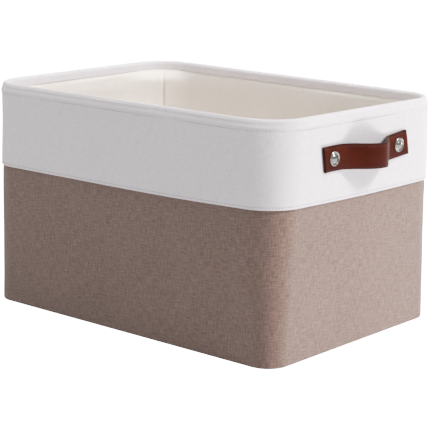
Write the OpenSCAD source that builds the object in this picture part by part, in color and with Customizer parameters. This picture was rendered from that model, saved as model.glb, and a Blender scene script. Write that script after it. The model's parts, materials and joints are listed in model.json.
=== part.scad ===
// Fabric storage bin: a soft-walled box hung from a wire hoop, with a riveted leather strap handle
// on each end wall and a base board that lifts out.
// Origin: centre of the underside. +X runs along the long side, +Z is up.

/* [Body] */
// Length along X at the rim, over the white band
bin_length = 400; // [320:5:480]
// Width along Y at the rim, over the white band
bin_width = 280; // [220:5:340]
// Height from the floor to the crown of the rim
bin_height = 240; // [200:5:300]
// Corner radius at the rim
rim_radius = 44; // [36:1:60]
// Corner radius at the floor
floor_radius = 25; // [20:1:34]
// How far each wall leans in between the rim and the floor
wall_lean = 3.5; // [0.5:0.5:8]

/* [Walls] */
// Height of the white band's lower edge
band_edge_z = 150.5; // [120:0.5:160]
// How far the taupe wrap is tucked up behind the band
wrap_tuck = 8; // [4:1:14]
// How far the hem comes down inside the rim
hem_drop = 10; // [8:1:24]
// Thickness of the white canvas
canvas_t = 1; // [0.8:0.1:1.2]
// Thickness of the taupe wrap
wrap_t = 1.3; // [0.8:0.1:1.4]
// Thickness of the foam interlining in each wall
foam_t = 2.7; // [2:0.1:3]
// Thickness of the cotton lining
lining_t = 1; // [0.6:0.1:1.2]
// Diameter of the rim wire
wire_d = 4; // [3:0.1:4]

/* [Base board] */
// Gap between the board and the lining on each side
board_gap = 3.5; // [2:0.5:6]
// Corner radius of the board
board_radius = 30; // [24:1:36]
// Thickness of the grey board inside its cover
board_core_t = 3.2; // [2:0.1:4]

/* [Handles] */
// Height of the strap's centre line
grip_z = 195; // [185:1:200]
// How far the strap sits from the middle of the end wall, towards the back
grip_shift = 1; // [-10:1:10]
// Width of the leather strap
strap_w = 25; // [18:1:28]
// Thickness of the leather strap
strap_t = 2.6; // [2:0.1:3]
// Distance from the strap's middle to each rivet
rivet_reach = 54; // [46:1:60]
// Length of strap past each rivet
tab_tail = 15; // [10:1:18]
// How far the middle of the strap bows out from the wall
bow_height = 20; // [16:1:30]
// Where along the strap the bow is highest
bow_peak = 2; // [-2:1:4]
// Length of the bow's front flank
bow_front = 48; // [42:1:48]
// Length of the bow's back flank
bow_back = 38; // [36:1:42]
// Distance from the strap's middle to where its moving loop begins
loop_reach = 24; // [18:1:26]

/* [Rivets] */
// Diameter of the domed cap
cap_d = 15; // [12:0.5:16]
// Height of the domed cap
cap_h = 3.2; // [2.5:0.1:4]
// Diameter of the post
post_d = 3.2; // [2.6:0.1:4]
// Diameter of the washer inside the bin
washer_d = 12; // [9:0.5:14]
// Thickness of the washer
washer_t = 0.9; // [0.6:0.1:1.2]

/* [Hidden] */
// Gap between pieces that move apart, and between pieces that stay together
free_gap = 0.3;
snug_gap = 0.1;
hole_gap = 0.05;
// Room under the wire, and at each end of a foam sheet
wire_room = 1;
foam_end_gap = 2;
corner_steps = 8;
crown_steps = 8;
wire_sides = 16;
strap_steps = 48;
fine = 64;
lip = 1;

// The wall's layers, as distances inward from the band's outer face
wrap_out = canvas_t + free_gap;
foam_out = wrap_out + wrap_t + snug_gap;
lining_out = foam_out + foam_t + snug_gap;
lining_in = lining_out + lining_t;
hem_out = lining_in + free_gap;
rim_t = hem_out + canvas_t;

// The rim's crown is a half circle over the wire
crown_r = rim_t / 2;
crown_z = bin_height - crown_r;
wire_gap_z = crown_z - wire_d / 2 - wire_room;
sleeve_length = 30;
sleeve_r = crown_r - canvas_t - snug_gap;

// Floor layers, from the ground up
panel_t = 1.4;
lining_floor_z = panel_t + snug_gap;
board_z = lining_floor_z + lining_t + free_gap;
board_cover_t = 1;
board_top_z = board_z + snug_gap + board_core_t + snug_gap + board_cover_t;

lean_angle = atan(wall_lean / bin_height);
post_hole_d = post_d + 2 * hole_gap;
soft_hole_d = post_d + 4 * free_gap;
cut_gap = 0.6;
strap_in = 0.05;
white = [0.93, 0.92, 0.93];
cream = [0.94, 0.92, 0.87];
taupe = [0.58, 0.52, 0.48];
leather = [0.4, 0.18, 0.13];
steel = [0.75, 0.75, 0.76];

// The two ends of the bin and the two ends of each strap, with their names
SIDES = [[1, "right"], [-1, "left"]];
ENDS = [[-1, "front"], [1, "back"]];

// How far the wall has leant in, and its corner radius, at height z
function lean_at(z) = wall_lean * (1 - z / bin_height);
function radius_at(z) = floor_radius + (rim_radius - floor_radius) * z / bin_height;

// One closed ring of points round the bin at height z, a distance inward from the band's face
function ring(z, inward) =
    let (r = radius_at(z) - inward)
    let (x = bin_length / 2 - lean_at(z) - radius_at(z))
    let (y = bin_width / 2 - lean_at(z) - radius_at(z))
    [for (quarter = [0:3], k = [0:corner_steps])
        let (a = 90 * (quarter + k / corner_steps))
        let (sx = quarter == 0 || quarter == 3 ? 1 : -1)
        let (sy = quarter < 2 ? 1 : -1)
        [sx * x + r * cos(a), sy * y + r * sin(a), z]];

// A closed profile of [inward, z] points carried all the way round the bin.
// The profile goes up its outer side first.
module round_wall(profile) {
    n = 4 * (corner_steps + 1);
    m = len(profile);
    polyhedron(
        points = [for (p = profile) each ring(p[1], p[0])],
        faces = [for (i = [0:m - 1], j = [0:n - 1])
            let (up = (i + 1) % m * n)
            let (on = (j + 1) % n)
            each [[i * n + j, up + j, up + on], [i * n + j, up + on, i * n + on]]],
        convexity = 4);
}

// A plain layer of the wall from z0 to z1
module wall_layer(inward, t, z0, z1) {
    round_wall([[inward, z0], [inward, z1], [inward + t, z1], [inward + t, z0]]);
}

// A flat plate with round corners
module round_plate(length, width, r, t) {
    linear_extrude(t) {
        square([length - 2 * r, width], center = true);
        square([length, width - 2 * r], center = true);
        for (sx = [-1, 1], sy = [-1, 1])
            translate([sx * (length / 2 - r), sy * (width / 2 - r)])
                circle(r, $fn = fine);
    }
}

// A plate that fills the floor to a distance inward from the walls' outer face
module floor_plate(inward, z, t) {
    shrink = 2 * (inward + lean_at(z));
    translate([0, 0, z])
        round_plate(bin_length - shrink, bin_width - shrink, floor_radius - inward, t);
}

// Places children on an end wall: +X out of the wall, Y along it, at the strap's centre line
module on_right_wall() {
    translate([bin_length / 2 - lean_at(grip_z), grip_shift, grip_z])
        rotate([0, lean_angle, 0])
            children();
}

module on_end_wall(side) {
    if (side > 0)
        on_right_wall() children();
    else
        mirror([1, 0, 0]) on_right_wall() children();
}

// A round bar along +X at one rivet of one strap, from x0 to x1
module rivet_bar(side, end, d, x0, x1) {
    on_end_wall(side)
        translate([x0, end * rivet_reach, 0])
            rotate([0, 90, 0])
                cylinder(h = x1 - x0, d = d, $fn = fine);
}

// Holes through the walls for every post
module post_holes(d) {
    for (side = SIDES, end = ENDS)
        rivet_bar(side[0], end[0], d, -3 * rim_t, rim_t);
}

// Floor and lower wall

module bottom_panel() {
    color(taupe)
        floor_plate(foam_out, 0, panel_t);
}

module lower_wrap() {
    color(taupe)
        wall_layer(wrap_out, wrap_t, 0, band_edge_z + wrap_tuck);
}

// Foam interlining: one flat board in each wall, between the soft corners
module wall_foam(across, along) {
    reach = (along ? bin_length : bin_width) / 2 - rim_radius - foam_end_gap;
    color("white")
        difference() {
            intersection() {
                wall_layer(foam_out, foam_t, lining_floor_z, wire_gap_z);
                translate(along ? [-reach, across > 0 ? 0 : -bin_width, 0]
                                : [across > 0 ? 0 : -bin_length, -reach, 0])
                    cube(along ? [2 * reach, bin_width, bin_height]
                               : [bin_length, 2 * reach, bin_height]);
            }
            post_holes(soft_hole_d);
        }
}

// Lining

module lining_walls() {
    color(cream)
        difference() {
            wall_layer(lining_out, lining_t, lining_floor_z, wire_gap_z);
            post_holes(soft_hole_d);
        }
}

module lining_floor() {
    color(cream)
        floor_plate(lining_in + snug_gap, lining_floor_z, lining_t);
}

// Base board: grey board in a fabric cover that wraps its top and edges

module board_outline(inset, z, t) {
    shrink = 2 * (lining_in + lean_at(board_z) + board_gap + inset);
    translate([0, 0, z])
        round_plate(bin_length - shrink, bin_width - shrink, board_radius - inset, t);
}

module base_board_core() {
    color("tan")
        board_outline(board_cover_t + snug_gap, board_z + snug_gap, board_core_t);
}

module base_board_cover() {
    color(cream)
        difference() {
            board_outline(0, board_z, board_top_z - board_z);
            board_outline(board_cover_t, board_z - lip, board_top_z - board_z + lip - board_cover_t);
        }
}

// Rim: wire hoop, its sleeve, and the white band that folds over them

module rim_wire() {
    color(steel)
        round_wall([for (k = [0:wire_sides - 1])
            let (a = 360 * k / wire_sides)
            [crown_r - wire_d / 2 * cos(a), crown_z + wire_d / 2 * sin(a)]]);
}

module rim_wire_sleeve() {
    y = bin_width / 2 - lean_at(crown_z) - crown_r;
    color("silver")
        translate([-sleeve_length / 2, y, crown_z])
            rotate([0, 90, 0])
                difference() {
                    cylinder(h = sleeve_length, r = sleeve_r, $fn = fine);
                    translate([0, 0, -lip])
                        cylinder(h = sleeve_length + 2 * lip, d = wire_d + 2 * hole_gap, $fn = fine);
                }
}

// The crown of the hem, as [inward, z] points on a half circle of radius r
function crown(r, from, to) =
    [for (k = [0:crown_steps])
        let (a = from + (to - from) * k / crown_steps)
        [crown_r - r * cos(a), crown_z + r * sin(a)]];

module upper_band() {
    color(white)
        difference() {
            round_wall(concat(
                [[0, band_edge_z]],
                crown(crown_r, 0, 180),
                [[rim_t, bin_height - hem_drop], [rim_t - canvas_t, bin_height - hem_drop]],
                crown(crown_r - canvas_t, 180, 0),
                [[canvas_t, band_edge_z]]));
            post_holes(post_hole_d);
        }
}

// Leather straps. The strap lies flat under its rivets and bows out between them.

// Distance of the strap's middle layer from the wall, at a place t along it
function bow(t) =
    let (u = t < bow_peak ? (t - bow_peak) / bow_front : (t - bow_peak) / bow_back)
    strap_in + strap_t / 2 + (abs(u) > 1 ? 0 : bow_height * (1 + cos(180 * u)) / 2);

// A point of the strap's face, a distance out from its middle layer
function strap_point(t, out) =
    let (slope = (bow(t + 0.1) - bow(t - 0.1)) / 0.2)
    let (n = sqrt(1 + slope * slope))
    [bow(t) + out / n, t - out * slope / n];

// The stretch of strap from t0 to t1
module strap(side, t0, t1) {
    reach = rivet_reach + tab_tail;
    places = [for (k = [0:strap_steps]) reach * (2 * k / strap_steps - 1)];
    color(leather)
        difference() {
            on_end_wall(side)
                intersection() {
                    linear_extrude(strap_w, center = true)
                        polygon(concat(
                            [for (t = places) strap_point(t, strap_t / 2)],
                            [for (k = [strap_steps:-1:0]) strap_point(places[k], -strap_t / 2)]));
                    translate([-lip, t0, -strap_w])
                        cube([2 * bow_height, t1 - t0, 2 * strap_w]);
                }
            for (end = ENDS)
                rivet_bar(side, end[0], post_hole_d, -lip, rim_t);
        }
}

module strap_tab(side, end) {
    near = loop_reach + cut_gap;
    far = rivet_reach + tab_tail + lip;
    if (end > 0)
        strap(side, near, far);
    else
        strap(side, -far, -near);
}

module strap_loop(side) {
    strap(side, -loop_reach, loop_reach);
}

// Rivets: a domed cap on the strap, a post through the wall, a washer on the lining

module rivet_cap(side, end) {
    face = strap_in + strap_t + hole_gap;
    brim = cap_h / 4;
    color(steel)
        difference() {
            on_end_wall(side)
                translate([face, end * rivet_reach, 0])
                    rotate([0, 90, 0])
                        rotate_extrude($fn = fine)
                            intersection() {
                                union() {
                                    square([cap_d / 2, brim]);
                                    translate([0, brim])
                                        square([cap_d / 2 - brim, cap_h - brim]);
                                    translate([cap_d / 2 - brim, brim])
                                        circle(brim, $fn = 24);
                                }
                                translate([0, cap_h - cap_d])
                                    circle(cap_d, $fn = fine);
                            }
            rivet_bar(side, end, post_hole_d, -lip, face + cap_h / 2);
        }
}

module rivet_post(side, end) {
    head_t = 0.8;
    back = -hem_out - washer_t - hole_gap;
    tip = strap_in + strap_t + cap_h / 2;
    color(steel) {
        rivet_bar(side, end, post_d, back - head_t / 2, tip);
        rivet_bar(side, end, post_d * 2, back - head_t, back);
    }
}

module rivet_washer(side, end) {
    color("silver")
        difference() {
            rivet_bar(side, end, washer_d, -hem_out - washer_t, -hem_out);
            rivet_bar(side, end, post_hole_d, -2 * rim_t, 0);
        }
}

bottom_panel();
lower_wrap();
wall_foam(-1, true);  // wall_foam_front
wall_foam(1, true);  // wall_foam_back
wall_foam(-1, false);  // wall_foam_left
wall_foam(1, false);  // wall_foam_right
lining_walls();
lining_floor();
base_board_core();
base_board_cover();
rim_wire();
rim_wire_sleeve();
upper_band();
for (side = SIDES) {
    strap_loop(side[0]);
    for (end = ENDS) {
        place = str(side[1], "_", end[1]);
        strap_tab(side[0], end[0]);
        rivet_cap(side[0], end[0]);
        rivet_post(side[0], end[0]);
        rivet_washer(side[0], end[0]);
    }
}
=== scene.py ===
"""The looks of the fabric storage bin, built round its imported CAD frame.

Metres, with +X along the long side and +Z up.
"""

import json
import math

import bpy
import numpy as np
from mathutils import Matrix, Vector


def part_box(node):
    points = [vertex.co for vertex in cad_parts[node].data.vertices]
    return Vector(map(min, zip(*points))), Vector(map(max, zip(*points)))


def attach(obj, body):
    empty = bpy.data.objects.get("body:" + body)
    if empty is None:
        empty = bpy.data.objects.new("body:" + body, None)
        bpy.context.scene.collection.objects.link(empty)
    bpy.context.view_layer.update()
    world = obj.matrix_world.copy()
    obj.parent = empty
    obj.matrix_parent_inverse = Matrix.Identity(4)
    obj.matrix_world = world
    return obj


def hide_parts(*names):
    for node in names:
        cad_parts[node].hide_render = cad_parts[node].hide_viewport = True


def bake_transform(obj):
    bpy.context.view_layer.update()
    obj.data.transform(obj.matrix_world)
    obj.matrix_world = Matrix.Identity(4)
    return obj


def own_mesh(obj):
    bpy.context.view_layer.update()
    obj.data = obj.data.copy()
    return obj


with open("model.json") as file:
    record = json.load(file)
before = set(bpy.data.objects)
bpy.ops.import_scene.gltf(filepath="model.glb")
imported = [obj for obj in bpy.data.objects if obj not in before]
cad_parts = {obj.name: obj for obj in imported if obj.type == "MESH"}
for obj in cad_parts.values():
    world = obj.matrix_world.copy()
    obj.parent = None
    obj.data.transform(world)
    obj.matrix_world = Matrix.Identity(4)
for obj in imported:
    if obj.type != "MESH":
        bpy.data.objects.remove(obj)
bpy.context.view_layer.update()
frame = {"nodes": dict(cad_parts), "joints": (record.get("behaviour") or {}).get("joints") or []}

MM = 0.001
SIDES = {"right": 1, "left": -1}
ENDS = ("front", "back")

# ---- Sizes, from the frame and from the CAD's own layer thicknesses ----

BAND_LOW, BAND_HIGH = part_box("upper_band")
LENGTH = 400 * MM
WIDTH = 280 * MM
HEIGHT = BAND_HIGH.z
RIM_RADIUS = 44 * MM
FLOOR_RADIUS = 25 * MM
WALL_LEAN = 3.5 * MM
BAND_EDGE = BAND_LOW.z
RIM_THICKNESS = 7.8 * MM
CANVAS = 1.0 * MM
CROWN_RADIUS = RIM_THICKNESS / 2
CROWN_Z = HEIGHT - CROWN_RADIUS
WIRE_RADIUS = 2 * MM
HEM_EDGE = HEIGHT - 10 * MM
HEM_STITCH = HEIGHT - 11.2 * MM
EDGE_STITCH = BAND_EDGE + 2.9 * MM
WRAP_OUT = 1.3 * MM
WRAP_THICK = 1.3 * MM
WRAP_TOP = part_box("lower_wrap")[1].z
LINING_OUT = 5.5 * MM
LINING_IN = 6.5 * MM
LINING_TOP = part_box("lining_walls")[1].z
LINING_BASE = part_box("lining_walls")[0].z
STRAP_WIDTH = 25 * MM
STRAP_THICK = 2.6 * MM
EDGE_LINE = 2.4 * MM  # from the strap's long edges to their stitches


def joint(name):
    return next(row for row in frame["joints"] if row["name"] == name)


def lean_at(z):
    return WALL_LEAN * (1 - z / HEIGHT)


def radius_at(z):
    return FLOOR_RADIUS + (RIM_RADIUS - FLOOR_RADIUS) * z / HEIGHT


def smooth(x):
    x = np.clip(x, 0, 1)
    return x * x * (3 - 2 * x)


def waves(u, v, scale, seed):
    """Soft, repeatable unevenness from -1 to 1 over (u, v), with features about scale across."""
    count = 6
    draw = np.random.RandomState(seed)
    total = np.zeros(np.broadcast(u, v).shape)
    for _ in range(count):
        turn, phase, stretch = draw.uniform(0, 2 * math.pi, 2).tolist() + [draw.uniform(0.6, 1.6)]
        step = 2 * math.pi / (scale * stretch)
        total = total + np.sin(step * (math.cos(turn) * u + math.sin(turn) * v) + phase)
    return total / count ** 0.5 / 1.6


def slack(u, z, layers):
    """Loose cloth, in layers of waves. Each layer is (depth, size across, seed)."""
    return sum(depth * waves(u, z, size, seed) for depth, size, seed in layers)


def circle(count):
    return np.linspace(0, 2 * math.pi, count, endpoint=False)


# ---- Mesh helpers ----


def add(name, data):
    """An object in the scene, from its mesh, light or camera."""
    made = bpy.data.objects.new(name, data)
    bpy.context.scene.collection.objects.link(made)
    return made


def make_object(name, vertices, faces, material, uvs=None):
    """A mesh object from arrays. uvs has one (u, v) per face corner, in metres along the cloth."""
    mesh = bpy.data.meshes.new(name)
    mesh.from_pydata([tuple(v) for v in np.asarray(vertices, float)], [], [tuple(f) for f in faces])
    if uvs is not None:
        layer = mesh.uv_layers.new(name="cloth")
        layer.data.foreach_set("uv", np.asarray(uvs, np.float32).ravel())
    mesh.polygons.foreach_set("use_smooth", [True] * len(mesh.polygons))
    mesh.materials.append(material)
    mesh.update()
    return add(name, mesh)


def grid_faces(rows, columns, close_rows=True):
    """Quads of a grid whose columns go all the way round, and each corner's row and column."""
    first_rows = np.arange(rows if close_rows else rows - 1)
    i, j = (k.ravel() for k in np.meshgrid(first_rows, np.arange(columns), indexing="ij"))
    corner_rows = np.stack([i, i, i + 1, i + 1], 1)
    corner_columns = np.stack([j, j + 1, j + 1, j], 1)
    return (corner_rows % rows) * columns + corner_columns % columns, corner_rows, corner_columns


def skin(name, points, lengths_u, lengths_v, material):
    """A closed strip of cloth, all the way round, from an array of points: rows x columns x 3."""
    faces, corner_rows, corner_columns = grid_faces(*points.shape[:2])
    u = np.append(lengths_u, lengths_u[-1] + (lengths_u[-1] - lengths_u[-2]))
    v = np.append(lengths_v, lengths_v[-1] + MM)
    uvs = np.stack([u[corner_columns], v[corner_rows]], -1)
    return make_object(name, points.reshape(-1, 3), faces, material, uvs)


# ---- The ring that every wall layer follows ----


SEAM_SHARE = 0.37  # the share of the way round that puts the cloth's joint on the back wall


class Ring:
    """Columns round the bin: how far along each straight wall, and which way the wall faces."""

    def __init__(self, spacing, corner_columns):
        straights = ((1, -1, 1, 1, 0), (1, 1, -1, 1, 90),
                     (-1, 1, -1, -1, 180), (-1, -1, 1, -1, 270))
        columns = []
        for x0, y0, x1, y1, facing in straights:
            run = LENGTH if y0 == y1 else WIDTH
            count = round((run - 2 * RIM_RADIUS) / spacing)
            for k in range(count):
                share = k / count
                columns.append((x0 + (x1 - x0) * share, y0 + (y1 - y0) * share, facing))
            for k in range(corner_columns):
                columns.append((x1, y1, facing + 90 * k / corner_columns))
        start = round(len(columns) * SEAM_SHARE)
        columns = np.array(columns[start:] + columns[:start])
        self.mx, self.my = columns[:, 0], columns[:, 1]
        facing = np.radians(columns[:, 2])
        self.nx, self.ny = np.cos(facing), np.sin(facing)
        middle = self.at((BAND_EDGE + HEIGHT) / 2, 0)
        steps = np.linalg.norm(np.roll(middle, -1, 0) - middle, axis=1)
        self.u = np.append(0, np.cumsum(steps)[:-1])
        self.around = steps.sum()

    def at(self, z, inward):
        """Points of the ring at height z. inward may be one number or one per column."""
        radius = radius_at(z) - inward
        x = self.mx * (LENGTH / 2 - lean_at(z) - radius_at(z)) + radius * self.nx
        y = self.my * (WIDTH / 2 - lean_at(z) - radius_at(z)) + radius * self.ny
        return np.stack([x, y, np.broadcast_to(z, x.shape)], 1)

    def place(self, u, z, inward):
        """Points and outward directions at lengths u round the ring."""
        points = self.at(z, inward)
        closed = np.append(self.u, self.around)
        u = np.mod(u, self.around)
        xyz = np.stack([np.interp(u, closed, np.append(line, line[0])) for line in points.T], 1)
        out = np.stack([np.interp(u, closed, np.append(n, n[0])) for n in (self.nx, self.ny)], 1)
        out /= np.linalg.norm(out, axis=1)[:, None]
        return xyz, np.column_stack([out, np.zeros(len(out))])


FINE = Ring(1.2 * MM, 44)


# How far the hoop stands high or low at the rim's corners: left front, right front, left back,
# right back. The walls take it up over LIFT_RUN, from LIFT_START.
RIM_LIFT = (-0.3 * MM, -1.4 * MM, 1.0 * MM, -3.2 * MM)
LIFT_START, LIFT_RUN = 165 * MM, 60 * MM
# How far the band's lower edge rides up at two corners, how far from them, and its drop elsewhere
EDGE_RIDE, EDGE_RIDE_REACH, EDGE_DROP = 3.2 * MM, 95 * MM, 0.2 * MM
EDGE_RIDE_HEIGHT = 45 * MM


def settle(points, edge=True):
    """Lets the rim stand high or low at its corners, and the band's lower edge ride up at two."""
    x, y, z = points[..., 0], points[..., 1], points[..., 2]
    right, back = 0.5 + x / LENGTH, 0.5 + y / WIDTH
    front_lift = RIM_LIFT[0] * (1 - right) + RIM_LIFT[1] * right
    back_lift = RIM_LIFT[2] * (1 - right) + RIM_LIFT[3] * right
    lift = (front_lift * (1 - back) + back_lift * back) * smooth((z - LIFT_START) / LIFT_RUN)
    if edge:
        ride = np.zeros(x.shape)
        for corner in (1, -1):
            far = np.hypot(x - corner * LENGTH / 2, y + corner * WIDTH / 2)
            ride = ride + EDGE_RIDE * np.exp(-(far / EDGE_RIDE_REACH) ** 2)
        lift = lift + (ride - EDGE_DROP) * (1 - smooth((z - BAND_EDGE) / EDGE_RIDE_HEIGHT))
    settled = np.array(points, float)
    settled[..., 2] += lift
    return settled


def along(profile):
    """Length along a profile of (z, inward) rows."""
    steps = [math.dist(a, b) for a, b in zip(profile, profile[1:])]
    return np.append(0, np.cumsum(steps))


# ---- Materials ----


def srgb(red, green, blue):
    """A colour given as 0 to 255 display values."""
    def linear(c):
        c /= 255
        return c / 12.92 if c <= 0.04045 else ((c + 0.055) / 1.055) ** 2.4
    return (linear(red), linear(green), linear(blue), 1)


def shade(colour, share):
    return tuple(share * c for c in colour[:3]) + (1,)


class Shader:
    """A material's node tree, with short calls for the nodes that this scene uses."""

    def __init__(self, name):
        self.material = bpy.data.materials.new(name)
        self.material.use_nodes = True
        self.tree = self.material.node_tree
        self.tree.nodes.clear()
        self.surface = self.node("ShaderNodeBsdfPrincipled")
        output = self.node("ShaderNodeOutputMaterial")
        self.link(self.surface.outputs[0], output.inputs["Surface"])

    def node(self, kind, **settings):
        made = self.tree.nodes.new(kind)
        for key, value in settings.items():
            setattr(made, key, value)
        return made

    def link(self, source, target):
        self.tree.links.new(source, target)

    def feed(self, target, value):
        if isinstance(value, bpy.types.NodeSocket):
            self.link(value, target)
        else:
            target.default_value = value

    def set(self, **values):
        for key, value in values.items():
            self.feed(self.surface.inputs[key.replace("_", " ")], value)

    def math(self, operation, a, b=0.0, c=0.0):
        made = self.node("ShaderNodeMath", operation=operation)
        for socket, value in zip(made.inputs, (a, b, c)):
            self.feed(socket, value)
        return made.outputs[0]

    def mix(self, share, a, b):
        made = self.node("ShaderNodeMix", data_type="RGBA")
        for socket, value in ((made.inputs[0], share), (made.inputs[6], a), (made.inputs[7], b)):
            self.feed(socket, value)
        return made.outputs[2]

    def mix_values(self, share, a, b):
        made = self.node("ShaderNodeMix", data_type="FLOAT")
        for socket, value in ((made.inputs[0], share), (made.inputs[2], a), (made.inputs[3], b)):
            self.feed(socket, value)
        return made.outputs[0]

    def spread(self, value, low, high, out_low=0.0, out_high=1.0):
        made = self.node("ShaderNodeMapRange", interpolation_type="SMOOTHSTEP")
        for socket, given in zip(made.inputs, (value, low, high, out_low, out_high)):
            self.feed(socket, given)
        return made.outputs[0]

    def cloth_uv(self):
        """Lengths along the cloth, in metres: (u, v)."""
        split = self.node("ShaderNodeSeparateXYZ")
        self.link(self.node("ShaderNodeUVMap", uv_map="cloth").outputs[0], split.inputs[0])
        return split.outputs[0], split.outputs[1]

    def vector(self, x, y, z=0.0):
        made = self.node("ShaderNodeCombineXYZ")
        for socket, value in zip(made.inputs, (x, y, z)):
            self.feed(socket, value)
        return made.outputs[0]

    def noise(self, vector, scale=1.0, detail=2.0, rough=0.5):
        made = self.node("ShaderNodeTexNoise")
        self.link(vector, made.inputs["Vector"])
        made.inputs["Scale"].default_value = scale
        made.inputs["Detail"].default_value = detail
        made.inputs["Roughness"].default_value = rough
        return made.outputs[0]

    def place(self):
        return self.node("ShaderNodeTexCoord").outputs["Object"]

    def bump(self, height, distance, strength, under=None):
        made = self.node("ShaderNodeBump")
        made.inputs["Strength"].default_value = strength
        made.inputs["Distance"].default_value = distance
        self.link(height, made.inputs["Height"])
        if under is not None:
            self.link(under, made.inputs["Normal"])
        return made.outputs[0]

    def thread(self, position):
        """The round cross-section of a thread, 0 at its edges and 1 along its middle."""
        part = self.math("MULTIPLY_ADD", self.math("FRACT", position), 2.0, -1.0)
        return self.math("SUBTRACT", 1.0, self.math("MULTIPLY", part, part))


def woven(name, dark, light, pitch, slub, contrast, relief, fuzz, flecks=0.0, turned=False):
    """Plain-woven cloth, whose threads go over and under and have thick and thin stretches.

    pitch is the distance between threads and slub the length of a thick stretch, in metres.
    """
    s = Shader(name)
    u, v = s.cloth_uv()
    if turned:
        u, v = v, u
    across, up = s.math("DIVIDE", u, pitch), s.math("DIVIDE", v, pitch)
    warp_round, weft_round = s.thread(across), s.thread(up)
    parity = s.math("PINGPONG", s.math("ADD", s.math("FLOOR", across), s.math("FLOOR", up)), 1.0)
    warp_over = s.math("MULTIPLY", warp_round, s.math("MULTIPLY_ADD", weft_round, 0.5, 0.5))
    weft_over = s.math("MULTIPLY", weft_round, s.math("MULTIPLY_ADD", warp_round, 0.5, 0.5))
    height = s.mix_values(parity, warp_over, weft_over)

    # Each thread's own tone, a little of its neighbours', and slow clouds over the whole cloth.
    # The last number of each vector only sets that noise apart from the others.
    thread = 0.8 / pitch
    warp_place = s.vector(s.math("MULTIPLY", u, thread), s.math("DIVIDE", v, slub))
    warp_slub = s.noise(warp_place, 1.0, 2.0, 0.6)
    weft_place = s.vector(s.math("DIVIDE", u, slub), s.math("MULTIPLY", v, thread), 7.0)
    weft_slub = s.noise(weft_place, 1.0, 2.0, 0.6)
    yarn = s.mix_values(parity, warp_slub, weft_slub)
    both = s.math("MULTIPLY", s.math("ADD", warp_slub, weft_slub), 0.5)
    tone = s.math("MULTIPLY_ADD", yarn, 0.6, s.math("MULTIPLY", both, 0.4))
    half_range = 0.5 * (1.02 - contrast)
    tone = s.spread(tone, 0.5 - half_range, 0.5 + half_range)
    cloud = s.noise(s.vector(u, v, 3.0), 14.0, 2.0, 0.5)
    tone = s.math("ADD", tone, s.math("MULTIPLY_ADD", cloud, 0.16, -0.08))
    # Painted shade: the cloth is drawn darker where its threads dip under one another, and lighter
    # on their crowns.
    tone = s.math("MULTIPLY", tone, s.math("MULTIPLY_ADD", height, 0.25, 0.8))
    colour = s.mix(tone, dark, light)
    if flecks:
        fleck = s.spread(s.noise(s.vector(u, v, 11.0), 900.0, 1.0), 0.66, 0.74)
        colour = s.mix(s.math("MULTIPLY", fleck, flecks), colour, shade(dark, 0.6))
    s.set(Base_Color=colour, Roughness=0.92, Specular_IOR_Level=0.35, Sheen_Weight=fuzz,
          Sheen_Roughness=0.55)
    soft = s.bump(s.noise(s.vector(u, v, 5.0), 60.0, 3.0, 0.6), 0.5 * MM, 0.5)
    s.set(Normal=s.bump(height, relief, 0.7, soft))
    return s.material


HIDE_DARK, HIDE_LIGHT, HIDE_STREAK = srgb(60, 15, 2), srgb(78, 22, 3), srgb(78, 27, 10)
HIDE_EDGE, HIDE_LINE = srgb(48, 20, 16), srgb(58, 22, 16)


def leather():
    """Smooth brown leather: fine pores, cloudy dye, dark burnished edges and a waxy shine."""
    s = Shader("strap_leather")
    u, v = s.cloth_uv()
    place = s.vector(u, v)
    cloud = s.noise(place, 38.0, 3.0, 0.6)
    long_place = s.vector(s.math("MULTIPLY", u, 60.0), s.math("MULTIPLY", v, 420.0))
    streak = s.noise(long_place, 1.0, 3.0, 0.65)
    colour = s.mix(s.spread(cloud, 0.3, 0.7), HIDE_DARK, HIDE_LIGHT)
    colour = s.mix(s.spread(streak, 0.35, 0.75, 0.0, 0.35), colour, HIDE_STREAK)
    from_middle = s.math("ABSOLUTE", s.math("SUBTRACT", v, STRAP_WIDTH / 2))
    edge = s.spread(from_middle, STRAP_WIDTH / 2 - 1.8 * MM, STRAP_WIDTH / 2)
    colour = s.mix(s.math("MULTIPLY", edge, 0.85), colour, HIDE_EDGE)
    crease = s.math("ABSOLUTE", s.math("SUBTRACT", from_middle, STRAP_WIDTH / 2 - EDGE_LINE))
    line = s.spread(crease, 0.15 * MM, 0.7 * MM, 1.0, 0.0)
    colour = s.mix(s.math("MULTIPLY", line, 0.35), colour, HIDE_LINE)
    pores = s.node("ShaderNodeTexVoronoi", feature="DISTANCE_TO_EDGE")
    s.link(place, pores.inputs["Vector"])
    pores.inputs["Scale"].default_value = 1500.0
    grain = s.bump(pores.outputs[0], 0.08 * MM, 0.35)
    soft = s.bump(s.noise(place, 160.0, 3.0), 0.25 * MM, 0.4, grain)
    groove = s.bump(s.math("SUBTRACT", 1.0, line), 0.3 * MM, 0.6, soft)
    s.set(Base_Color=colour, Roughness=s.spread(cloud, 0.2, 0.8, 0.42, 0.55), Normal=groove,
          Specular_IOR_Level=0.09)
    return s.material


def metal(name, colour, rough):
    """Polished metal, a little stained."""
    s = Shader(name)
    stains = s.noise(s.place(), 240.0, 2.0)
    s.set(Base_Color=s.mix(s.spread(stains, 0.35, 0.7), colour, shade(colour, 0.85)),
          Roughness=s.spread(stains, 0.3, 0.7, rough, rough * 1.6), Metallic=1.0)
    return s.material


def thread_material(name, colour):
    """Twisted sewing thread."""
    s = Shader(name)
    twist = s.noise(s.place(), 2400.0, 2.0, 0.7)
    s.set(Base_Color=s.mix(twist, shade(colour, 0.72), colour), Roughness=0.7,
          Normal=s.bump(twist, 0.1 * MM, 0.6))
    return s.material


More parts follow.
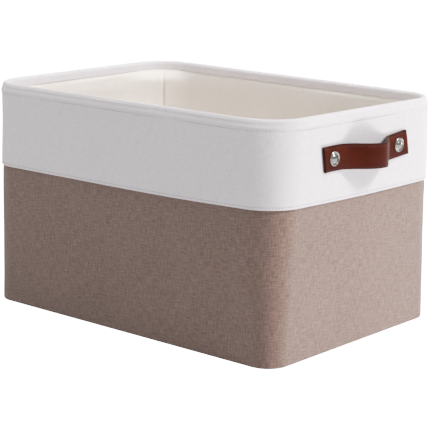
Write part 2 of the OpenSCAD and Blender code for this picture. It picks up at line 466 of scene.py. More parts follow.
def speckled(name, dark, light, scale):
    """Pulp board or foam: an even colour with fine specks and pores."""
    s = Shader(name)
    specks = s.noise(s.place(), scale, 3.0, 0.7)
    s.set(Base_Color=s.mix(s.spread(specks, 0.3, 0.7), dark, light), Roughness=0.95,
          Normal=s.bump(specks, 0.2 * MM, 0.5))
    return s.material


CANVAS_CLOTH = woven("band_canvas", srgb(219, 213, 217), srgb(245, 239, 243), pitch=0.75 * MM,
                     slub=9 * MM, contrast=0.35, relief=0.12 * MM, fuzz=0.25)
LINEN_CLOTH = woven("wrap_linen", srgb(107, 83, 74), srgb(156, 131, 120), pitch=0.8 * MM,
                    slub=10 * MM, contrast=0.6, relief=0.2 * MM, fuzz=0.35, flecks=0.2)
LINING_CLOTH = woven("lining_cotton", srgb(236, 225, 217), srgb(253, 247, 241), pitch=0.6 * MM,
                     slub=8 * MM, contrast=0.4, relief=0.1 * MM, fuzz=0.2)
COVER_CLOTH = woven("board_cover", srgb(220, 212, 201), srgb(244, 237, 228), pitch=0.6 * MM,
                    slub=8 * MM, contrast=0.4, relief=0.1 * MM, fuzz=0.2, turned=True)
LEATHER = leather()
CHROME = metal("rivet_chrome", (0.54, 0.53, 0.5, 1), 0.12)
STEEL = metal("wire_steel", (0.56, 0.56, 0.58, 1), 0.3)
WHITE_THREAD = thread_material("white_thread", srgb(166, 158, 164))
TAUPE_THREAD = thread_material("taupe_thread", srgb(120, 104, 96))
BROWN_THREAD = thread_material("brown_thread", srgb(74, 30, 22))
FOAM = speckled("foam_interlining", srgb(215, 214, 212), srgb(236, 235, 233), 900.0)
GREY_BOARD = speckled("grey_board", srgb(120, 112, 103), srgb(160, 151, 140), 500.0)


# ---- The white band: a folded hem over the wire, down to a stitched lower edge ----

STITCH = 3.4 * MM
STITCH_SHARE = 0.74  # the share of each stitch's pitch that its thread covers
HEM_LEAN, HEM_LEAN_LESS_ON_ENDS = 1.4 * MM, 1.05 * MM
HEM_BULGE, EDGE_FOLD = 0.55 * MM, 0.12 * MM
HEM_GROOVE, HEM_PUCKER = 0.6 * MM, 0.16 * MM
EDGE_GROOVE, EDGE_PUCKER = 0.22 * MM, 0.1 * MM
BAND_SLACK = (0.55 * MM, 0.12, 3), (0.2 * MM, 0.04, 4)


def band_swell(u, z):
    """How far the band stands out from its plain shape at length u and height z."""
    hem_slope = HEM_LEAN - HEM_LEAN_LESS_ON_ENDS * FINE.nx ** 2
    loose = slack(u, z, BAND_SLACK)
    hem = math.exp(-((z - HEM_STITCH - 2.6 * MM) / (2.2 * MM)) ** 2)
    slope = float(smooth((z - HEM_STITCH - 3.2 * MM) / (4.5 * MM)))
    pull = 0.8 + 0.2 * np.cos(2 * math.pi * u / STITCH)
    groove = math.exp(-((z - HEM_STITCH) / (1.3 * MM)) ** 2)
    pucker = math.exp(-abs(z - HEM_STITCH) / (5 * MM)) * waves(u, z, 0.011, 5)
    low_groove = math.exp(-((z - EDGE_STITCH) / (0.9 * MM)) ** 2)
    low_pucker = math.exp(-abs(z - EDGE_STITCH) / (4 * MM)) * waves(u, z, 0.012, 6)
    fold = smooth((EDGE_STITCH - 0.5 * MM - z) / (2 * MM))
    fade = smooth((HEIGHT - 1.5 * MM - z) / (20 * MM)) * 0.7 + 0.3
    return (loose * fade * smooth((z - BAND_EDGE) / (25 * MM)) + HEM_BULGE * hem - hem_slope * slope
            - HEM_GROOVE * groove * pull + HEM_PUCKER * pucker
            - EDGE_GROOVE * low_groove * pull + EDGE_PUCKER * low_pucker + EDGE_FOLD * fold)


def rows_between(low, high, near, fine_step, coarse_step):
    """Heights from low to high, closer together within 5 mm of each height in near."""
    heights, z = [low], low
    while z < high - fine_step:
        close = min(abs(z - n) for n in near) < 5 * MM
        z += fine_step if close else coarse_step
        heights.append(min(z, high))
    return heights


def half_circle(radius, start, end, steps):
    """(z, inward) rows over the rim's crown."""
    angles = np.radians(np.linspace(start, end, steps))
    return [(CROWN_Z + radius * math.sin(a), CROWN_RADIUS - radius * math.cos(a)) for a in angles]


def make_band():
    wall = rows_between(BAND_EDGE + 0.7 * MM, CROWN_Z - 0.3 * MM, (HEM_STITCH, EDGE_STITCH),
                        fine_step=0.6 * MM, coarse_step=4 * MM)
    outer = [(BAND_EDGE + 0.15 * MM, 0.5 * MM), (BAND_EDGE + 0.3 * MM, 0.15 * MM)]
    outer += [(z, 0.0) for z in wall]
    outer += half_circle(CROWN_RADIUS, 0, 180, 13)
    hem = [(CROWN_Z - 2.5 * MM, RIM_THICKNESS), (HEM_EDGE + 1.5 * MM, RIM_THICKNESS + 0.1 * MM),
           (HEM_EDGE + 0.4 * MM, RIM_THICKNESS + 0.25 * MM),
           (HEM_EDGE - 0.1 * MM, RIM_THICKNESS - 0.1 * MM),
           (HEM_EDGE, RIM_THICKNESS - 0.8 * MM), (CROWN_Z - 2 * MM, RIM_THICKNESS - CANVAS)]
    inside = half_circle(CROWN_RADIUS - CANVAS, 180, 0, 7)
    inside += [(HEM_STITCH, CANVAS + 0.2 * MM), (200 * MM, CANVAS + 0.2 * MM),
               (BAND_EDGE + 10 * MM, CANVAS + 0.1 * MM), (BAND_EDGE + 0.4 * MM, CANVAS)]
    profile = outer + hem + inside
    wavy_hem_rows = 4

    points = []
    for row, (z, inward) in enumerate(profile):
        if row < len(outer):
            share = smooth((RIM_THICKNESS * 0.6 - inward) / (RIM_THICKNESS * 0.6))
            swell = band_swell(FINE.u, z) * share
        elif row < len(outer) + wavy_hem_rows:
            swell = -0.25 * MM * waves(FINE.u, z, 0.02, 8)
        else:
            swell = 0
        points.append(FINE.at(z, inward - swell))
    band = skin("upper_band_canvas", settle(np.stack(points)), FINE.u, along(profile), CANVAS_CLOTH)
    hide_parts("upper_band")
    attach(band, "rim")


def make_wire():
    """The steel hoop inside the hem, which follows the rim's own highs and lows."""
    profile = [(CROWN_Z + WIRE_RADIUS * math.sin(a), CROWN_RADIUS + WIRE_RADIUS * math.cos(a))
               for a in circle(12)]
    points = np.stack([FINE.at(z, inward) for z, inward in profile])
    wire = skin("rim_hoop_wire", settle(points), FINE.u, along(profile), STEEL)
    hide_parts("rim_wire")
    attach(wire, "rim")


def make_sleeve():
    """The short tube that joins the two ends of the hoop, at the middle of the back."""
    node = "rim_wire_sleeve"
    low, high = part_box(node)
    middle = (low + high) / 2
    outer, inner = (high.z - low.z) / 2, WIRE_RADIUS + 0.05 * MM
    chamfer = 0.2 * MM
    between = np.linspace(low.x, high.x, 9)[1:-1]
    profile = [(low.x, inner), (low.x, outer - chamfer), (low.x + chamfer, outer),
               *((x, outer) for x in between),
               (high.x - chamfer, outer), (high.x, outer - chamfer), (high.x, inner)]
    profile += [(x, inner) for x in between[::-1]]
    turns = circle(32)
    rings = [[(x, middle.y + r * math.cos(a), middle.z + r * math.sin(a)) for a in turns]
             for x, r in profile]
    faces = grid_faces(len(profile), len(turns))[0]
    sleeve = make_object("rim_hoop_sleeve", settle(np.array(rings).reshape(-1, 3)), faces, STEEL)
    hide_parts(node)
    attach(sleeve, "rim")


# ---- The taupe wrap ----

WRAP_SLACK = (0.75 * MM, 0.14, 13), (0.25 * MM, 0.05, 14)
WRAP_TUCK = 0.5 * MM  # how far the band presses the wrap in


def wrap_swell(u, z):
    """The wrap's slack at length u and height z, which ends where the band holds it in."""
    loose = smooth(z / (30 * MM)) * smooth((WRAP_TOP - 6 * MM - z) / (30 * MM))
    tucked = smooth((z - BAND_EDGE + 6 * MM) / (6 * MM))
    return loose * slack(u, z, WRAP_SLACK) - WRAP_TUCK * tucked


def make_wrap():
    wall = rows_between(3 * MM, BAND_EDGE - 2 * MM, (BAND_EDGE,),
                        fine_step=1 * MM, coarse_step=3.5 * MM)
    outer = [(0.0, 4.5 * MM), (0.0, 2.6 * MM), (0.2 * MM, 2.0 * MM), (0.7 * MM, 1.6 * MM),
             (1.6 * MM, 1.35 * MM), *((z, WRAP_OUT) for z in wall), (BAND_EDGE + 1 * MM, WRAP_OUT)]
    inner_face = WRAP_OUT + WRAP_THICK
    inner = [(WRAP_TOP, WRAP_OUT + 0.1 * MM), (WRAP_TOP, inner_face),
             (BAND_EDGE, inner_face + 0.1 * MM), (60 * MM, inner_face), (6 * MM, inner_face),
             (1.5 * MM, inner_face + 0.5 * MM), (1.2 * MM, 4.5 * MM)]
    profile = outer + inner
    points = []
    for row, (z, inward) in enumerate(profile):
        swell = wrap_swell(FINE.u, z) if row < len(outer) else 0
        points.append(FINE.at(z, inward - swell))
    wrap = skin("lower_wrap_linen", np.stack(points), FINE.u, along(profile), LINEN_CLOTH)
    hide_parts("lower_wrap")
    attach(wrap, "shell")
    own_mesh(wrap)


# ---- The lining: flat walls that meet in a crease at each corner, under the round rim ----


CREASE_PULL = 7.5 * MM
CREASE_GROOVE = 2 * MM
CREASE_STEPS = 22
END_BEND, SIDE_BEND = 52 * MM, 26 * MM  # how far along each wall its creases reach
LINING_SLACK = (0.9 * MM, 0.11, 23), (0.35 * MM, 0.035, 24)
LINING_OFFSET = 0.9 * MM  # keeps the slack on the lining's inner side
FULLNESS, FULLNESS_WAVES = 2.6 * MM, (1.2 * MM, 0.16, 25)


def lining_ring(z, inward, crease):
    """The lining's outline at height z. crease is 1 where the corners are sharp, 0 where round."""
    radius = radius_at(z) - inward
    x = LENGTH / 2 - lean_at(z) - radius_at(z)
    y = WIDTH / 2 - lean_at(z) - radius_at(z)
    diagonal = radius / math.sqrt(2)
    pull = CREASE_PULL * float(smooth((z - 80 * MM) / (90 * MM)))
    f = np.linspace(0, 1, CREASE_STEPS) ** 1.7

    def bend(reach):
        """From the crease to where the wall is flat: how far along the wall, and how far out."""
        run = diagonal - f * (diagonal + reach)
        start = diagonal - pull
        sharp = start + (radius - start) * (1 - (1 - f) ** 2)
        sharp = sharp + CREASE_GROOVE * np.exp(-(f * (diagonal + reach) / (1.6 * MM)) ** 2)
        run_pulled = run - pull * crease * (1 - f) ** 2
        rounded = np.where(run > 0, np.sqrt(np.maximum(radius ** 2 - run ** 2, 0)), radius)
        return run_pulled, rounded + (sharp - rounded) * crease

    run_end, out_end = bend(END_BEND)
    run_side, out_side = bend(SIDE_BEND)
    straight = np.linspace(0, 1, 60)[1:-1, None]
    corners = ((1, 1), (-1, 1), (-1, -1), (1, -1))
    outline = []
    for (sx, sy), (next_sx, next_sy) in zip(corners, corners[1:] + corners[:1]):
        on_end = np.stack([sx * (x + out_end), sy * (y + run_end)], 1)
        on_side = np.stack([sx * (x + run_side), sy * (y + out_side)], 1)
        on_side[0] = on_end[0] = (on_end[0] + on_side[0]) / 2
        first, second = (on_end, on_side) if sx * sy > 0 else (on_side, on_end)
        corner = np.concatenate([first[::-1], second[1:]])
        start = corner[-1]
        if next_sy == sy:
            end = np.array([next_sx * (x + run_side[-1]), next_sy * (y + radius)])
        else:
            end = np.array([next_sx * (x + radius), next_sy * (y + run_end[-1])])
        outline += [corner, start + (end - start) * straight]
    flat = np.concatenate(outline)
    return np.column_stack([flat, np.full(len(flat), z)])


def lining_fullness(u, z):
    """How far the lining's inner face stands into the bin, fullest just under the hem."""
    loose = smooth(z / (25 * MM)) * smooth((228 * MM - z) / (20 * MM))
    soft = slack(u, z, LINING_SLACK) + LINING_OFFSET
    puff = smooth((231 * MM - z) / (5 * MM)) * smooth((z - 195 * MM) / (25 * MM))
    return soft * loose + puff * (FULLNESS + slack(u, 0, [FULLNESS_WAVES]))


def make_lining():
    heights = [LINING_BASE + 0.3 * MM, 4 * MM] + list(np.arange(10, 205, 7) * MM)
    heights += list(np.arange(206, 229, 2) * MM) + [229 * MM, 230.5 * MM, LINING_TOP]
    rows, lengths = [], []
    for face, inward in (("inner", LINING_IN), ("outer", LINING_OUT)):
        for z in heights if face == "inner" else heights[::-1]:
            crease = 1 - 0.95 * float(smooth((z - 219 * MM) / (13 * MM)))
            ring = lining_ring(z, inward, crease)
            steps = np.linalg.norm(np.roll(ring, -1, 0) - ring, axis=1)
            u = np.append(0, np.cumsum(steps)[:-1])
            if face == "inner":
                tangent = np.roll(ring, -1, 0) - np.roll(ring, 1, 0)
                inside = np.column_stack([-tangent[:, 1], tangent[:, 0], np.zeros(len(ring))])
                inside /= np.linalg.norm(inside, axis=1)[:, None]
                ring = ring + inside * lining_fullness(u, z)[:, None]
            rows.append(ring)
            lengths.append(z if face == "inner" else 0.5 - z)
    points = settle(np.stack(rows)[::-1], edge=False)
    lining = skin("lining_walls_cotton", points, u, np.array(lengths)[::-1], LINING_CLOTH)
    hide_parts("lining_walls")
    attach(lining, "shell")
    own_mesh(lining)


def make_foam():
    """The foam sheets stay inside the walls, and flatten with them."""
    for wall in ("front", "back", "left", "right"):
        node = "wall_foam_" + wall
        mesh = frame["nodes"][node].data.copy()
        mesh.materials.clear()
        mesh.materials.append(FOAM)
        foam = add("foam_sheet_" + wall, mesh)
        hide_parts(node)
        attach(foam, "shell")
        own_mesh(foam)


# ---- Flat plates with round corners: bottom panel, lining floor and base board ----


def plate_outline(half_x, half_y, radius, shrink, per_corner=14, per_side=24):
    """Points round a rectangle with round corners, brought in by shrink on every side."""
    outline = []
    for sx, sy, start in ((1, 1, 0), (-1, 1, 90), (-1, -1, 180), (1, -1, 270)):
        angles = np.radians(start + np.linspace(0, 90, per_corner))
        r = max(radius - shrink, 0.5 * MM)
        cx, cy = sx * (half_x - radius), sy * (half_y - radius)
        if shrink > radius:
            cx, cy = sx * (half_x - shrink), sy * (half_y - shrink)
        outline += [(cx + r * math.cos(a), cy + r * math.sin(a)) for a in angles]
    outline = np.array(outline)
    rows = []
    shares = (np.arange(1, per_side) / per_side)[:, None]
    for k in range(4):
        corner = outline[k * per_corner:(k + 1) * per_corner]
        following = outline[((k + 1) % 4) * per_corner]
        rows += [corner, corner[-1] + (following - corner[-1]) * shares]
    return np.concatenate(rows)


def plate(name, half_x, half_y, radius, profile, material, swell=lambda x, y, z, shrink: 0 * x):
    """A plate from (z, shrink) rows, bottom first, with a flat cap at each end of the profile."""
    rings = []
    for z, shrink in profile:
        flat = plate_outline(half_x, half_y, radius, shrink)
        rings.append(np.column_stack([flat, z + swell(flat[:, 0], flat[:, 1], z, shrink)]))
    points = np.stack(rings)
    rows, columns = points.shape[:2]
    faces = list(grid_faces(rows, columns, close_rows=False)[0])
    faces += [range(columns)[::-1], range((rows - 1) * columns, rows * columns)]
    flat = points.reshape(-1, 3)
    uvs = [(flat[i][0], flat[i][1]) for f in faces for i in f]
    return make_object(name, flat, faces, material, uvs)


PANEL_RADIUS = 20 * MM


def make_floor_layers():
    layers = (
        ("bottom_panel_linen", "bottom_panel", LINEN_CLOTH, "wrap_linen", (0.3874, 0.2674)),
        ("lining_floor_cotton", "lining_floor", LINING_CLOTH, "lining_cotton", (0.3798, 0.2598)))
    for name, node, material, slot_name, size in layers:
        low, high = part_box(node)
        middle = (low.z + high.z) / 2
        profile = [(low.z, 60 * MM), (low.z, 12 * MM), (low.z, 1.2 * MM),
                   (middle - 0.2 * MM, 0.3 * MM), (middle + 0.2 * MM, 0.3 * MM),
                   (high.z, 1.2 * MM), (high.z, 12 * MM), (high.z, 60 * MM)]
        made = plate(name, high.x, high.y, PANEL_RADIUS, profile, material)
        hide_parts(node)
        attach(made, "shell")


COVER_THICK = 1 * MM
BOARD_RADIUS = 30 * MM


def make_base_board():
    """The cover over the board's top and edges. The board itself keeps its CAD shape."""
    low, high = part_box("base_board_cover")
    under = high.z - COVER_THICK

    def soft(x, y, z, shrink):
        """Lets the top face, but not the face under it, dip a little away from its edges."""
        top = smooth((z - under) / COVER_THICK) * smooth((shrink - 2 * MM) / (10 * MM))
        return top * (0.25 * MM * waves(x, y, 0.07, 31) - 0.3 * MM)

    profile = [(under, 118 * MM), (under, 30 * MM), (under, COVER_THICK), (low.z, COVER_THICK),
               (low.z, 0.4 * MM), (low.z + 0.4 * MM, 0.0), (high.z - 1.4 * MM, 0.0),
               (high.z - 0.5 * MM, 0.4 * MM)]
    profile += [(high.z, shrink * MM) for shrink in (1.8, 6, 14, 30, 50, 75, 100, 118)]
    cover = plate("base_board_cover_cotton", high.x, high.y, BOARD_RADIUS, profile, COVER_CLOTH,
                  soft)
    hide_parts("base_board_cover")
    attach(cover, "base_board")


# ---- Stitching ----


def stitches(name, centres, outward, length, radius, material):
    """Short threads that lie along a seam and dive into the cloth at both ends."""
    around, stations = 6, 6
    ahead = np.roll(centres, -1, 0) - np.roll(centres, 1, 0)
    ahead[0], ahead[-1] = ahead[1], ahead[-2]
    ahead /= np.linalg.norm(ahead, axis=1)[:, None]
    side = np.cross(ahead, outward)
    along_stitch = np.linspace(-0.5, 0.5, stations)
    lift = radius * (1.1 - 7 * along_stitch ** 2)
    thick = radius * np.sqrt(np.maximum(1 - (1.9 * along_stitch) ** 2 * 0.9, 0.15))
    angles = circle(around)
    vertices, faces = [], []
    for centre, forward, out, across in zip(centres, ahead, outward, side):
        base = len(vertices)
        for s, up, r in zip(along_stitch, lift, thick):
            middle = centre + forward * (s * length) + out * up
            vertices += [middle + r * (math.cos(a) * out + math.sin(a) * across) for a in angles]
        for k in range(stations - 1):
            for a in range(around):
                b = (a + 1) % around
                row, after = base + k * around, base + (k + 1) * around
                faces.append((row + a, after + a, after + b, row + b))
        faces.append(range(base, base + around))
        faces.append(range(base + (stations - 1) * around, base + stations * around)[::-1])
    return make_object(name, vertices, faces, material)


WHITE_THREAD_RADIUS, TAUPE_THREAD_RADIUS, BROWN_THREAD_RADIUS = 0.26 * MM, 0.12 * MM, 0.2 * MM
# From one stitch to the next, and the length of each
PANEL_STITCH, PANEL_STITCH_LENGTH = 4 * MM, 2.9 * MM
STRAP_STITCH, STRAP_STITCH_LENGTH = 3.2 * MM, 2.3 * MM
PANEL_STITCH_INSET = 3.5 * MM


def make_seams():
    """The rows of stitches right round the band, then the row round the bottom panel."""
    count = round(FINE.around / STITCH)
    u = np.arange(count) * FINE.around / count
    for name, z, depth in (("hem_topstitch", HEM_STITCH, 0.55 * MM),
                           ("band_edge_stitch", EDGE_STITCH, 0.3 * MM)):
        centres, outward = FINE.place(u, z, depth)
        row = stitches(name, settle(centres), outward, STITCH * STITCH_SHARE, WHITE_THREAD_RADIUS,
                       WHITE_THREAD)
        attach(row, "rim")
    low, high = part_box("bottom_panel")
    outline = plate_outline(high.x, high.y, PANEL_RADIUS, PANEL_STITCH_INSET,
                            per_corner=30, per_side=110)
    steps = np.linalg.norm(np.roll(outline, -1, 0) - outline, axis=1)
    u = np.append(0, np.cumsum(steps))
    places = np.arange(0, u[-1], PANEL_STITCH)
    closed = np.concatenate([outline, outline[:1]])
    flat = np.column_stack([np.interp(places, u, closed[:, k]) for k in (0, 1)])
    centres = np.column_stack([flat, np.full(len(flat), low.z + 0.15 * MM)])
    down = np.tile([0.0, 0.0, -1.0], (len(centres), 1))
    row = stitches("bottom_panel_stitch", centres, down, PANEL_STITCH_LENGTH,
                   TAUPE_THREAD_RADIUS, TAUPE_THREAD)
    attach(row, "shell")


# ---- Straps ----

# The bow: where it peaks, how far it runs to the front and to the back, and how high it stands
BOW_PEAK, BOW_FRONT, BOW_BACK, BOW_HEIGHT = 2 * MM, 48 * MM, 38 * MM, 20 * MM
STRAP_REACH = 69 * MM
RIVET_REACH = 54 * MM
DROOP = 1.2 * MM
WALL_GAP, RIVET_PRESS, TAB_CURL = 0.05 * MM, 0.12 * MM, 0.5 * MM
BACK_TAB_TURN = math.radians(4.5)
FRONT_END_CUT, BACK_END_CUT = 0.17, 0.16  # the slant of the cut ends


def bow_at(t):
    """The bow's share of its full height at a place t along the strap."""
    u = np.where(t < BOW_PEAK, (t - BOW_PEAK) / BOW_FRONT, (t - BOW_PEAK) / BOW_BACK)
    return np.where(np.abs(u) > 1, 0, (1 + np.cos(math.pi * u)) / 2)


def strap_middle(t):
    """The strap's middle layer: (out from the wall, up) at a place t along it."""
    near_rivet = np.exp(-((np.abs(t) - RIVET_REACH) / (6 * MM)) ** 2)
    curl = TAB_CURL * smooth((np.abs(t) - 62 * MM) / (7 * MM))
    out = WALL_GAP + STRAP_THICK / 2 + BOW_HEIGHT * bow_at(t) - RIVET_PRESS * near_rivet + curl
    return out, -DROOP * bow_at(t)


def wall_matrix(side):
    """From strap coordinates (out of the wall, along, up) to the row frame."""
    x, y, z = joint(f"strap_{side}_swing")["pos_m"]
    lean = math.atan(WALL_LEAN / HEIGHT)
    right = Matrix.Translation(Vector((abs(x), y, z))) @ Matrix.Rotation(lean, 4, "Y")
    return right if SIDES[side] > 0 else Matrix.Scale(-1, 4, (1, 0, 0)) @ right


FACE_POINTS, EDGE_POINTS, BACK_POINTS = 15, 6, 9


def strap_section():
    """Points round the strap's section, (across, out), with soft edges and a slightly full face.

    FACE_POINTS are on the face, then EDGE_POINTS round one edge, the back, and the other edge.
    """
    half, thick, edge = STRAP_WIDTH / 2, STRAP_THICK / 2, 0.7 * MM
    section = []
    for w in np.linspace(-half + edge, half - edge, FACE_POINTS):
        groove = 0.12 * MM * math.exp(-((abs(w) - half + EDGE_LINE) / (0.6 * MM)) ** 2)
        section.append((w, thick + 0.25 * MM * (1 - (w / half) ** 2) - groove))
    section += [(half - edge + edge * math.sin(a), thick - edge + edge * math.cos(a))
                for a in np.radians((30, 60, 90))]
    section += [(half - edge + edge * math.cos(a), -thick + edge - edge * math.sin(a))
                for a in np.radians((0, 30, 60))]
    section += [(w, -thick) for w in np.linspace(half - edge, -half + edge, BACK_POINTS)]
    section += [(-half + edge - edge * math.sin(a), -thick + edge - edge * math.cos(a))
                for a in np.radians((30, 60, 90))]
    section += [(-half + edge - edge * math.cos(a), thick - edge + edge * math.sin(a))
                for a in np.radians((0, 30, 60))]
    return np.array(section)


def strap_points(t, across, out_of_middle):
    """Points at places t along the strap, across its width and out from its middle layer."""
    out, up = strap_middle(t)
    nearby = 0.2 * MM
    slope = (strap_middle(t + nearby)[0] - strap_middle(t - nearby)[0]) / (2 * nearby)
    size = np.sqrt(1 + slope ** 2)
    turn = BACK_TAB_TURN * smooth(t / (34 * MM))
    cut = np.where(t < 0, -FRONT_END_CUT, -BACK_END_CUT) * smooth((np.abs(t) - 60 * MM) / (9 * MM))
    lengthwise = t - out_of_middle * slope / size + across * (cut - np.sin(turn))
    return out + out_of_middle / size, lengthwise, up + across + (t - RIVET_REACH) * np.sin(turn)


def placed(points, side):
    matrix = np.array(wall_matrix(side))
    return points @ matrix[:3, :3].T + matrix[:3, 3]


def blend_strap(piece):
    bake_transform(piece)


def make_strap(side):
    """One strap in one piece, from its front tab over the bow to its back tab, and its stitches."""
    t = np.linspace(-STRAP_REACH, STRAP_REACH, 150)
    section = strap_section()
    rows = []
    for across, out in section:
        wander = 0.2 * MM * waves(t, across, 0.05, 41)
        rows.append(np.stack(strap_points(t, across + wander, np.full(len(t), out)), -1))
    grid = np.stack(rows, 1)
    rings, columns = grid.shape[:2]
    faces, corner_rows, corner_columns = grid_faces(rings, columns, close_rows=False)
    faces = [*faces, range(columns)[::-1], range((rings - 1) * columns, rings * columns)]
    v = np.append(section[:, 0], section[0, 0]) + STRAP_WIDTH / 2
    v[FACE_POINTS:FACE_POINTS + EDGE_POINTS] = STRAP_WIDTH
    v[-EDGE_POINTS - 1:-1] = 0
    uvs = np.stack([t[corner_rows] + STRAP_REACH, v[corner_columns]], -1)
    if SIDES[side] < 0:
        faces = [f[::-1] for f in faces]
        uvs = uvs[:, ::-1]
    uvs = np.concatenate([uvs.reshape(-1, 2), np.zeros((2 * columns, 2))])
    points = placed(grid.reshape(-1, 3), side)
    strap = make_object(f"strap_{side}_leather", points, faces, LEATHER, uvs)
    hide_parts(f"strap_loop_{side}", f"strap_tab_{side}_front", f"strap_tab_{side}_back")
    blend_strap(strap)

    t = np.arange(-STRAP_REACH + 4 * MM, STRAP_REACH - 3 * MM, STRAP_STITCH)
    for edge, sign in (("upper", 1), ("lower", -1)):
        across = sign * (STRAP_WIDTH / 2 - EDGE_LINE)
        face = STRAP_THICK / 2 + 0.02 * MM
        here = np.stack(strap_points(t, across, np.full(len(t), face)), -1)
        above = np.stack(strap_points(t, across, np.full(len(t), face + MM)), -1)
        here, above = placed(here, side), placed(above, side)
        outward = (above - here) / np.linalg.norm(above - here, axis=1)[:, None]
        thread = stitches(f"strap_{side}_{edge}_stitch", here, outward, STRAP_STITCH_LENGTH,
                          BROWN_THREAD_RADIUS, BROWN_THREAD)
        blend_strap(thread)


# ---- Rivets ----

# (radius, height) from the strap up over the rolled rim to the top of the dome, in millimetres
CAP_PROFILE = ((7.35, 0.0), (7.5, 0.45), (7.45, 0.95), (7.15, 1.45), (6.65, 1.72), (6.1, 1.7),
               (5.6, 1.45), (5.25, 1.1), (5.0, 0.98), (4.75, 1.05), (4.3, 1.45), (3.6, 2.0),
               (2.7, 2.5), (1.7, 2.82), (0.8, 2.97))
CAP_RADIUS = max(radius for radius, _ in CAP_PROFILE)


def make_cap(side, end):
    """A domed cap with a rolled rim, lathed and set on the strap."""
    node = f"rivet_cap_{side}_{end}"
    low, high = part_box(node)
    base_x = low.x if SIDES[side] > 0 else high.x
    scale = (high.y - low.y) / 2 / CAP_RADIUS
    around = 72
    rings = [[(h * scale, r * scale * math.cos(a), r * scale * math.sin(a)) for a in circle(around)]
             for r, h in CAP_PROFILE]
    points = np.array(rings).reshape(-1, 3)
    faces = list(grid_faces(len(CAP_PROFILE), around, close_rows=False)[0])
    faces += [range((len(CAP_PROFILE) - 1) * around, len(CAP_PROFILE) * around),
              range(around)[::-1]]
    matrix = np.array(wall_matrix(side))[:3, :3]
    centre = np.array([base_x, (low.y + high.y) / 2, (low.z + high.z) / 2])
    if SIDES[side] < 0:
        faces = [f[::-1] for f in faces]
    cap = make_object(f"cap_{side}_{end}", points @ matrix.T + centre, faces, CHROME)
    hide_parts(node)
    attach(cap, "rim")


def dress_cad_nodes():
    """CAD nodes that keep their own shape get their materials."""
    for name, node in frame["nodes"].items():
        if node.hide_render:
            continue
        for slot in node.material_slots:
            slot.material = GREY_BOARD if name == "base_board_core" else STEEL


# ---- Stage, light and camera ----

CAMERA_YAW, CAMERA_PITCH, CAMERA_ROLL = 40.94, 11.83, 0.60
CAMERA_DISTANCE = 1.644
CAMERA_AIM = Vector((0, 0, 0.12))
CAMERA_LENS, SENSOR_WIDTH = 128.5, 36
CAMERA_SHIFT = (0.0116, -0.0412)

FLOOR_REACH, FLOOR_COLOUR, FLOOR_GLOW = 40, 0.9, 2.6
TABLE_REACH, TABLE_COLOUR = 6, 0.5
# Brightness of the surroundings from straight down, 0, to straight up, 1
SKY = ((0.0, 0.0), (0.495, 0.0), (0.5, 0.3), (0.6, 0.42), (1.0, 0.75))
SKY_STRENGTH = 0.88

# name, place, what it points at, size in metres, power in watts
SOFTBOXES = (
    ("low_right", (1.45, 0.75, -0.95), (0.2, 0, 0.12), 0.6, 30),
    ("high_right", (1.5, 0.3, 1.6), (0.1, 0, 0.2), 0.45, 33),
    ("top", (-0.2, 0.0, 1.8), (-0.1, 0.1, 0.15), 1.2, 9),
    ("inside", (0.12, 0.34, 1.1), (-0.2, -0.05, 0.2), 0.4, 4),
    ("left_fill", (-1.2, -1.3, 0.25), (-0.1, 0, 0.15), 0.7, 5),
    ("front_low", (1.05, -1.8, -0.3), (0.1, 0, 0.1), 1.0, 5.0),
    ("edge_light", (0.45, 1.7, 0.1), (0.2, 0, 0.2), 0.5, 9),
)

# (scene brightness, display brightness): straight up to the mid tones, then a soft shoulder
TONES = ((0, 0), (0.2, 0.2), (0.4, 0.4), (0.72, 0.6), (1.22, 0.79), (1.7, 0.91), (2.4, 1.0))


def make_camera():
    yaw, pitch = math.radians(CAMERA_YAW), math.radians(CAMERA_PITCH)
    level = math.cos(pitch)
    back = Vector((math.sin(yaw) * level, -math.cos(yaw) * level, math.sin(pitch)))
    right = Vector((math.cos(yaw), math.sin(yaw), 0))
    up = back.cross(right)
    roll = Matrix.Rotation(math.radians(CAMERA_ROLL), 3, "Z")
    turn = Matrix((right, up, back)).transposed() @ roll
    data = bpy.data.cameras.new("camera")
    data.lens, data.sensor_width = CAMERA_LENS, SENSOR_WIDTH
    data.shift_x, data.shift_y = CAMERA_SHIFT
    camera = add("camera", data)
    camera.matrix_world = Matrix.Translation(CAMERA_AIM + back * CAMERA_DISTANCE) @ turn.to_4x4()
    bpy.context.scene.camera = camera


def softbox(name, place, aim, size, power):
    data = bpy.data.lights.new(name, "AREA")
    data.shape, data.size, data.energy = "SQUARE", size, power
    light = add(name, data)
    light.location = place
    light.rotation_mode = "QUATERNION"
    light.rotation_quaternion = (Vector(aim) - Vector(place)).to_track_quat("-Z", "Y")


def stage_plane(name, reach, colour, glow):
    s = Shader(name)
    s.set(Base_Color=(colour, colour, colour, 1), Roughness=0.9)
    s.set(Emission_Color=(1, 1, 1, 1), Emission_Strength=glow)
    corners = [(-reach, -reach, 0), (reach, -reach, 0), (reach, reach, 0), (-reach, reach, 0)]
    plane = make_object(name, corners, [(0, 1, 2, 3)], s.material)
    plane.visible_shadow = False
    return plane


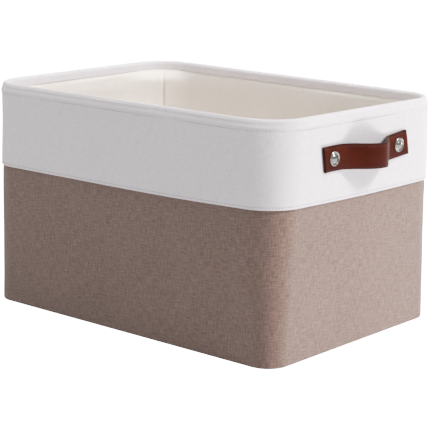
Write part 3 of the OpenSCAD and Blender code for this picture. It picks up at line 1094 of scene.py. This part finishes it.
def make_stage():
    """A white floor that only the camera sees, a grey table that only lights, and a studio sky."""
    floor = stage_plane("studio_floor", FLOOR_REACH, FLOOR_COLOUR, FLOOR_GLOW)
    floor.visible_diffuse = False
    floor.visible_glossy = False
    table = stage_plane("studio_table", TABLE_REACH, TABLE_COLOUR, 0)
    table.visible_camera = False

    world = bpy.data.worlds.new("studio")
    bpy.context.scene.world = world
    world.use_nodes = True
    nodes, links = world.node_tree.nodes, world.node_tree.links
    nodes.clear()
    background, output = nodes.new("ShaderNodeBackground"), nodes.new("ShaderNodeOutputWorld")
    place, split = nodes.new("ShaderNodeTexCoord"), nodes.new("ShaderNodeSeparateXYZ")
    height, ramp = nodes.new("ShaderNodeMath"), nodes.new("ShaderNodeValToRGB")
    height.operation = "MULTIPLY_ADD"
    height.inputs[1].default_value, height.inputs[2].default_value = 0.5, 0.5
    elements = ramp.color_ramp.elements
    for position, brightness in SKY[:-2]:
        elements.new(position)
    for element, (position, brightness) in zip(elements, SKY):
        element.position, element.color = position, (brightness, brightness, brightness, 1)
    links.new(place.outputs["Generated"], split.inputs[0])
    links.new(split.outputs["Z"], height.inputs[0])
    links.new(height.outputs[0], ramp.inputs[0])
    links.new(ramp.outputs[0], background.inputs[0])
    background.inputs[1].default_value = SKY_STRENGTH
    links.new(background.outputs[0], output.inputs[0])


def set_tones():
    """The display curve: how bright each brightness of the scene is shown."""
    view = bpy.context.scene.view_settings
    view.view_transform = "Standard"
    view.use_curve_mapping = True
    mapping = view.curve_mapping
    white = TONES[-1][0]
    mapping.white_level = (white, white, white)
    curve = mapping.curves[3]
    while len(curve.points) > 2:
        curve.points.remove(curve.points[1])
    curve.points[0].location, curve.points[1].location = TONES[0], (1, TONES[-1][1])
    for level, shown in TONES[1:-1]:
        curve.points.new(level / white, shown)
    mapping.update()


make_camera()
make_band()
make_wire()
make_sleeve()
make_wrap()
make_lining()
make_foam()
make_floor_layers()
make_base_board()
make_seams()
for strap_side in SIDES:
    make_strap(strap_side)
    for strap_end in ENDS:
        make_cap(strap_side, strap_end)
dress_cad_nodes()
make_stage()
for row in SOFTBOXES:
    softbox(*row)
set_tones()
